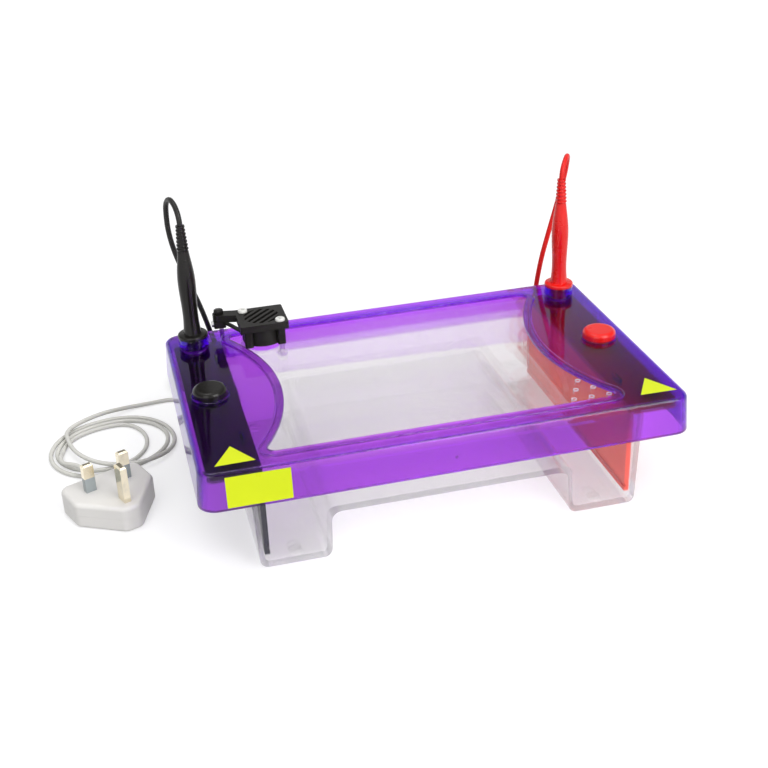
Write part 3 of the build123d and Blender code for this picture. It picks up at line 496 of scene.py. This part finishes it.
def add_lead(colour, route, start, way):
    """One lead: over and down from its connector, then coiled, up to its far plug."""
    centre = (start[0] + way * coil_radii[0], start[1])
    levels = [coil_bottom + layer * layer_height for layer in coil_layers] + [coil_top]
    coil = half_turns(centre, way, coil_radii, levels)
    tail = (centre[0] - way * coil_radii[-1], start[1])
    end = [(*tail, coil_top), (tail[0], tail[1] + 2 * lead_radius, coil_top)]
    points = [*route, (start[0], start[1] - run_in, coil_bottom), *coil, *end]
    add_cord(
        f"{colour}_lead", points, lead_radius, ("tank", "lid"), lead_bend_heights, f"{colour}_lead",
        [f"{colour}_lead_{part}" for part in ("upper", "lower", "coil")],
        far_end="plug", stiffness="limp", lay="coiled",
        with_pieces=[f"{colour}_far_plug", f"{colour}_far_pin"],
    )


black_route = [
    (-120, 69, 146), (-120, 69, 149.6), (-120.8, 72, 155.2), (-122.3, 77.9, 158.4),
    (-123.9, 84.1, 158), (-125.2, 89.3, 154.2), (-125.8, 91.9, 148), (-125.9, 92.2, 135),
    (-123.2, 93, 119), (-117, 94, 99), (-110.5, 95.4, 79),
    (-104, 97.4, 50), (-98.4, 99.6, 27), (-94.8, 102.2, 14.4), (-92.8, 107.6, 6), (-92, 116, 1.75),
    (-91.7, 128, 1.75),
]
red_route = [
    (120, 69, 146), (120, 69, 149.1), (122, 71.4, 154.1), (125.2, 75.8, 157),
    (128.3, 81.1, 157), (130.6, 86.1, 154), (131.4, 89.2, 148.8), (130.6, 90.6, 140),
    (126.8, 93.7, 119), (121.8, 95, 99), (117.2, 96.2, 79),
    (113.8, 98.2, 50), (113.2, 100.2, 27), (114, 102.6, 14.2), (114.8, 107.8, 6),
]
add_lead("black", black_route, (-92.6, 150.9), -1)
add_lead("red", red_route, (115, 125.1), 1)


def quarter_turns(stations, steps=4):
    """Loose loops: quarter ovals between the places where the cord runs along X or along Y."""
    spots = []
    for (x, y, z, along_y), (next_x, next_y, next_z, next_along_y) in zip(stations, stations[1:]):
        for step in range(steps):
            share = step / steps
            level = z + (next_z - z) * (1 - cos(pi * share)) / 2
            bend, run = 1 - cos(pi / 2 * share), sin(pi / 2 * share)
            if along_y and next_along_y:
                bend = run = share
            across, down = (bend, run) if along_y else (run, bend)
            spots.append((x + (next_x - x) * across, y + (next_y - y) * down, level))
    return spots


loop_stations = [
    (-206.2, 93, 5.1, True), (-168, 45, 5.1, False), (-138.4, 77, 1.5, True), (-174, 114.4, 1.5, False),
    (-217.6, 76, 1.5, True), (-189, 43, 1.5, False), (-142.3, 78, 1.5, True), (-174, 109.6, 1.5, False),
    (-213.5, 77, 1.5, True), (-184, 48.9, 1.5, False), (-156, 78, 1.5, True), (-174, 105, 1.5, False),
    (-209.4, 79, 1.5, True), (-210.6, 66, 5.1, True),
]
fan_cord_route = [
    (-100.5, 76.9, 78), (-100.5, 83.2, 78), (-100.2, 90.3, 74), (-99.6, 95, 66.4),
    (-99.4, 96, 50), (-99.8, 95.6, 34), (-102, 95.4, 20), (-106.6, 97, 9.6),
    (-112.6, 101.4, 3.4), (-117.6, 108.6, 1.5), (-121.8, 117.3, 1.5), (-127.2, 124.8, 1.5),
    (-135.5, 129.6, 1.5), (-146, 128.9, 1.5), (-158.6, 127.2, 1.8), (-170.6, 122.9, 3.5),
    (-182.2, 117.6, 5), (-192.9, 112, 5.1), (-202.2, 104.8, 5.1), (-205.8, 98.4, 5.1),
    *quarter_turns(loop_stations),
    (-210.6, 66, 5.1), (-210.4, 61.6, 5.2), (-208.4, 56.6, 5.8), (-204.4, 52.6, 7),
    (-200.2, 48, 8), (-197.7, 42.3, 8.05), (-196.61, 39.67, 8.05),
]
fan_cord_radius = 1.4
fan_cord_bend_heights = (8, 66)
add_cord(
    "fan_cord", fan_cord_route, fan_cord_radius, ("tank", "lid"), fan_cord_bend_heights, "white_cord",
    [f"fan_cord_{part}" for part in ("upper", "lower", "loops")],
    far_end="plug", stiffness="medium", lay="loose",
    with_pieces=["plug_relief", "mains_plug", "plug_pins", "plug_pin_sleeves"],
)

# The fan's own cable, from the clamp to the duct
cable_radius = 1.3
cable_route = [(-99.4, 69.8, 79.4), (-96.8, 66.2, 79.2), (-93.6, 61.6, 78.2), (-90.2, 59.2, 76.6)]
cable, _ = tube(cable_route, cable_radius, "fan_wire")
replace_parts(add_piece("fan_wire", cable, "lid", "black_lead"), "fan_cable")


# Small fittings that the solids leave plain: sizes and places in millimetres
def spot_at(x, y, z):
    """Place in metres."""
    return x * MM, y * MM, z * MM


def as_mesh(form):
    """Mesh of a finished form."""
    mesh = bpy.data.meshes.new("form")
    form.to_mesh(mesh)
    form.free()
    return mesh


def rings(levels, count, hollow=False):
    """Stacked rings, each a radius and a height. A hollow one's last ring joins its first."""
    form = bmesh.new()
    rows = []
    for radius, height in levels:
        angles = [2 * pi * step / count for step in range(count)]
        row = [form.verts.new(spot_at(radius * cos(angle), radius * sin(angle), height)) for angle in angles]
        rows.append(row)
    for lower, upper in zip(rows, rows[1:] + rows[:1] if hollow else rows[1:]):
        for step in range(count):
            after = (step + 1) % count
            form.faces.new((lower[step], lower[after], upper[after], upper[step]))
    if not hollow:
        form.faces.new(rows[0][::-1])
        form.faces.new(rows[-1])
    return as_mesh(form)


def prism(low, high):
    """Closed form between two outlines with as many corners."""
    form = bmesh.new()
    back, front = [form.verts.new(spot) for spot in low], [form.verts.new(spot) for spot in high]
    for step in range(len(low)):
        after = (step + 1) % len(low)
        form.faces.new((back[step], back[after], front[after], front[step]))
    form.faces.new(back[::-1])
    form.faces.new(front)
    bmesh.ops.recalc_face_normals(form, faces=form.faces)
    return as_mesh(form)


def cross_head(head, height, recess):
    """Screw head with a cross recess, its seat at zero, facing +Z."""
    dome = [(1, 0), (1, 0.55), (0.93, 0.82), (0.8, 0.96), (0.66, 1)]
    blank = set_up("blank", rings([(head * wide, height * tall) for wide, tall in dome], 40))
    slot, reach = recess * 0.26, recess
    outline = [
        (reach, slot), (slot, slot), (slot, reach), (-slot, reach), (-slot, slot), (-reach, slot),
        (-reach, -slot), (-slot, -slot), (-slot, -reach), (slot, -reach), (slot, -slot), (reach, -slot),
    ]
    tip = [spot_at(x * 0.6, y * 0.6, height * 0.25) for x, y in outline]
    mouth = [spot_at(x, y, height * 1.3) for x, y in outline]
    cross = set_up("cross", prism(tip, mouth))
    carve = blank.modifiers.new("carve", "BOOLEAN")
    carve.object, carve.operation, carve.solver = cross, "DIFFERENCE", "EXACT"
    carved = plain_mesh(blank)
    for item in (blank, cross):
        bpy.data.objects.remove(item)
    return carved


class Pattern(Graph):
    """Geometry Nodes tree that sets a small shape on spots. Its sizes are named inputs."""

    def __init__(self, name, **sizes):
        super().__init__(bpy.data.node_groups.new(name, "GeometryNodeTree"))
        self.sizes = {key.replace("_", " "): size for key, size in sizes.items()}
        board = self.tree.interface
        board.new_socket("Shape", in_out="INPUT", socket_type="NodeSocketGeometry")
        for key, size in self.sizes.items():
            kind = {int: "Int", float: "Float", tuple: "Vector"}[type(size)]
            board.new_socket(key, in_out="INPUT", socket_type="NodeSocket" + kind)
        board.new_socket("Pieces", in_out="OUTPUT", socket_type="NodeSocketGeometry")
        self.entry = self.tree.nodes.new("NodeGroupInput")
        self.tree.nodes.new("NodeGroupOutput")

    def __getitem__(self, key):
        return Value(self, self.entry.outputs[key])

    def index(self):
        """Each spot's number, from 0."""
        return self.node("GeometryNodeInputIndex", {})

    def row(self, count, first, step):
        """Spots in a straight row."""
        return self.node(
            "GeometryNodeMeshLine", {"mode": "OFFSET"}, Count=count, Start_Location=first, Offset=step
        )

    def set_on(self, spots, mesh, finish, **turn):
        """One plain mesh: the shape on every spot."""
        copies = self.node(
            "GeometryNodeInstanceOnPoints", {}, Points=spots, Instance=self["Shape"], **turn
        )
        plain = self.node("GeometryNodeRealizeInstances", {}, copies)
        self.end(self.node("GeometryNodeSetMaterial", {}, plain, Material=paint[finish]), "Pieces")
        holder = set_up(self.tree.name, mesh)
        modifier = holder.modifiers.new("pattern", "NODES")
        modifier.node_group = self.tree
        for item in self.tree.interface.items_tree:
            if item.name in self.sizes:
                modifier[item.identifier] = self.sizes[item.name]
        whole = plain_mesh(holder)
        holder.modifiers.remove(modifier)
        bpy.data.objects.remove(holder)
        return whole


def joined(meshes):
    """One mesh from several."""
    form = bmesh.new()
    for mesh in meshes:
        form.from_mesh(mesh)
    return as_mesh(form)


def moved(mesh, place, turn=Matrix.Identity(4)):
    """The mesh turned, then moved to its place."""
    mesh.transform(Matrix.Translation(spot_at(*place)) @ turn)
    return mesh


cover_top = 84.8
first_screw, next_screw = (-88, 71), (20, -20)
shank_radius, shank_bottom = 1.45, 60.8


def cover_screws(name, mesh, finish, height):
    """The two screws through the cover, on one diagonal, each turned its own way."""
    fan = Pattern(
        name, Screws=2, First_Screw=spot_at(*first_screw, height), Next_Screw=spot_at(*next_screw, 0.0),
        Turn=0.75,
    )
    spots = fan.row(fan["Screws"], fan["First Screw"], fan["Next Screw"])
    turned = fan.node("ShaderNodeCombineXYZ", {}, Z=(fan.index() + 0.6) * fan["Turn"])
    return fan.set_on(spots, mesh, finish, Rotation=fan.node("FunctionNodeEulerToRotation", {}, turned))


heads = cover_screws("Cover screw heads", cross_head(2.95, 1.6, 1.7), "white_nylon", cover_top)
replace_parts(add_piece("cover_screw_heads", smooth(heads, 30), "lid", "white_nylon"), "fan_screws")

shank = rings(
    [(shank_radius - 0.15, shank_bottom), (shank_radius, shank_bottom + 0.3), (shank_radius, cover_top)], 20
)
shanks = cover_screws("Cover screw shanks", shank, "clear_nylon", 0.0)
add_piece("cover_screw_shanks", smooth(shanks), "lid", "clear_nylon")

ear_end, clamp_y, clamp_height = -106.3, 73.2, 78.25
facing_out = Matrix.Rotation(-pi / 2, 4, "Y")
side_screw = moved(cross_head(2.0, 1.28, 1.2), (ear_end, clamp_y, clamp_height), facing_out)
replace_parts(add_piece("side_screw", smooth(side_screw, 30), "lid", "steel"), "clamp_screw")


def vent_rims():
    """Drilled rims of the vent holes: rows of one, two and three."""
    pane_top, drilled_to = 66.62, 65.9
    rim = Pattern("Vent rims", Rows=3, Across=10.5 * MM, Along=10.1 * MM, Apex=spot_at(85.6, -47.8, 0.0))
    index, rows = rim.index(), rim["Rows"]
    row = floor(((index * 8 + 1) ** 0.5 - 1) / 2 + 0.01)
    hole = index - row * (row + 1) / 2
    place = rim.node(
        "ShaderNodeCombineXYZ", {}, (hole - row / 2) * rim["Across"], row * rim["Along"] * -1
    )
    place = rim.node("ShaderNodeVectorMath", {"operation": "ADD"}, place, rim["Apex"])
    spots = rim.node("GeometryNodePoints", {}, rows * (rows + 1) / 2, place)
    wall = [(1.6, drilled_to), (1.6, pane_top), (1.25, pane_top), (1.4, drilled_to)]
    return rim.set_on(spots, rings(wall, 24, hollow=True), "frosted_bore")


add_piece("vent_rims", smooth(vent_rims()), "lid", "frosted_bore")

knob_x = -102.6


def knob_ribs():
    """Gripping ribs round the knob."""
    grip = Pattern("Knob ribs", Ribs=20, Knob_Radius=2.68 * MM)
    spots = grip.node("GeometryNodeMeshCircle", {}, grip["Ribs"], grip["Knob Radius"])
    outward = grip.node("GeometryNodeInputPosition", {})
    facing = grip.node("FunctionNodeAlignRotationToVector", {"axis": "X"}, Vector=outward)
    rib = rings([(0.2, 0.1), (0.24, 0.2), (0.24, 2.3), (0.12, 2.55)], 8)
    return grip.set_on(spots, rib, "black_plastic", Rotation=facing)


knob_body = rings([(2.62, 0), (2.72, 0.1), (2.72, 2.2), (2.6, 2.6), (2.3, 2.8)], 60)
knob = moved(joined([knob_body, knob_ribs()]), (knob_x, clamp_y, cover_top))
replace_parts(add_piece("ribbed_knob", smooth(knob, 35), "lid", "black_plastic"), "clamp_knob")

connector_x, connector_y = 120, 69
top_rib, rib_pitch = 145.35, 2.3


def neck_ribs(side, finish):
    """Ribs round a connector's tip, each a little wider than the one above it."""
    neck = Pattern(
        "Neck ribs", Ribs=7, First_Rib=spot_at(side * connector_x, connector_y, top_rib),
        Next_Rib=spot_at(0.0, 0.0, -rib_pitch), Widening=0.05,
    )
    spots = neck.row(neck["Ribs"], neck["First Rib"], neck["Next Rib"])
    width = neck.index() * neck["Widening"] + 1
    rib = rings([(1.9, -0.65), (2.62, -0.52), (2.76, -0.3), (2.76, 0.3), (2.62, 0.52), (1.9, 0.65)], 40)
    return neck.set_on(spots, rib, finish, Scale=neck.node("ShaderNodeCombineXYZ", {}, width, width, 1.0))


for side, colour in ((-1, "black"), (1, "red")):
    ribs = neck_ribs(side, f"{colour}_plastic")
    add_piece(f"{colour}_neck_ribs", smooth(ribs, 30), "lid", f"{colour}_plastic")


# Labels: plain films on the lid, corners in millimetres
film_lift, film_thickness = 0.01, 0.05


def film(name, corners, out):
    """Thin plain label: its corners on the lid and the way that it faces."""
    way = Vector(out).normalized()
    back = [(Vector(spot) + way * film_lift) * MM for spot in corners]
    front = [(Vector(spot) + way * (film_lift + film_thickness)) * MM for spot in corners]
    add_piece(name, prism(back, front), "lid", "yellow_label")


lid_top, lid_edge, skirt_slope = 67.8, 88.4, 1.5 / 21.8


def on_skirt(x, z):
    """Point on the front skirt's face."""
    return x, -lid_edge - (lid_top - z) * skirt_slope, z


upward, forward = (0, 0, 1), (0, -1, skirt_slope)
left_corners = [(-116.7, -61.9, lid_top), (-127.3, -80.3, lid_top), (-105.8, -79.9, lid_top)]
right_corners = [(121.4, -59.6, lid_top), (110.7, -77.6, lid_top), (132.2, -78.0, lid_top)]
front_corners = [on_skirt(x, z) for x, z in ((-123.6, 47.4), (-89.1, 47.4), (-89.1, 65.2), (-123.6, 65.2))]
film("left_corner_label", left_corners, upward)
film("right_corner_label", right_corners, upward)
film("front_label", front_corners, forward)


# Surroundings in metres: pale floor and soft studio light
def backdrop_seen(graph):
    """1 for what the camera, gloss and clear plastic see, 0 for what lights the object."""
    rays = graph.node("ShaderNodeLightPath", {}, out="Is Camera Ray")
    for other in ("Is Glossy Ray", "Is Transmission Ray"):
        rays = rays.at_least(graph.node("ShaderNodeLightPath", {}, out=other))
    return rays


def place_floor():
    """White paper to the horizon, which keeps the object's shadow."""
    reach, near_glow, added_glow = 6.0, 0.56, 0.3
    mesh = bpy.data.meshes.new("floor")
    corners = [(-reach, -reach, 0), (reach, -reach, 0), (reach, reach, 0), (-reach, reach, 0)]
    mesh.from_pydata(corners, [], [(0, 1, 2, 3)])
    floor_sheet = set_up("floor", mesh)
    finish = Finish("White paper floor", (0.50, 0.50, 0.505), Roughness=0.9, Emission_Strength=1.0)
    away = finish.distance((0, 0, 0)).between(0.5, 2.0)
    finish.set(Emission_Color=backdrop_seen(finish) * (near_glow + away * added_glow))
    mesh.materials.append(finish.material)


def light_room():
    """Dim room: white for the camera, a white wall in reflections, and a bright ceiling."""
    world = bpy.data.worlds.new("Studio")
    world.use_nodes = True
    room = Graph(world.node_tree)
    way = room.node("ShaderNodeTexCoord", {}, out="Generated")
    height = room.node("ShaderNodeSeparateXYZ", {}, way, out="Z")
    camera_sees = room.node("ShaderNodeLightPath", {}, out="Is Camera Ray")
    wall = camera_sees.at_least(backdrop_seen(room) * (1 - height.between(0.32, 0.50)))
    ceiling = 0.14 + height.between(0.45, 0.95) * 0.9
    backdrop = world.node_tree.nodes["Background"]
    backdrop.inputs["Color"].default_value = (1, 1, 1, 1)
    room.feed(backdrop.inputs["Strength"], ceiling + wall * (1 - ceiling))
    bpy.context.scene.world = world


def softbox(name, spot, target, size, power):
    """Soft lamp at a spot, aimed at its target."""
    data = bpy.data.lights.new(name, "AREA")
    data.shape, data.size, data.size_y, data.energy = "RECTANGLE", *size, power
    aim = (Vector(target) - Vector(spot)).to_track_quat("-Z", "Y").to_matrix().to_4x4()
    set_up(name, data).matrix_world = Matrix.Translation(spot) @ aim


place_floor()
light_room()
softbox("Overhead softbox", (-0.25, 0.25, 1.5), (0, 0, 0), (0.7, 0.45), 3)
softbox("Left front softbox", (-0.9, -1.1, 0.8), (0, 0, 0.05), (0.8, 0.9), 6)
softbox("Right front softbox", (0.55, -1.0, 0.85), (0, 0, 0.05), (0.75, 1.1), 16)
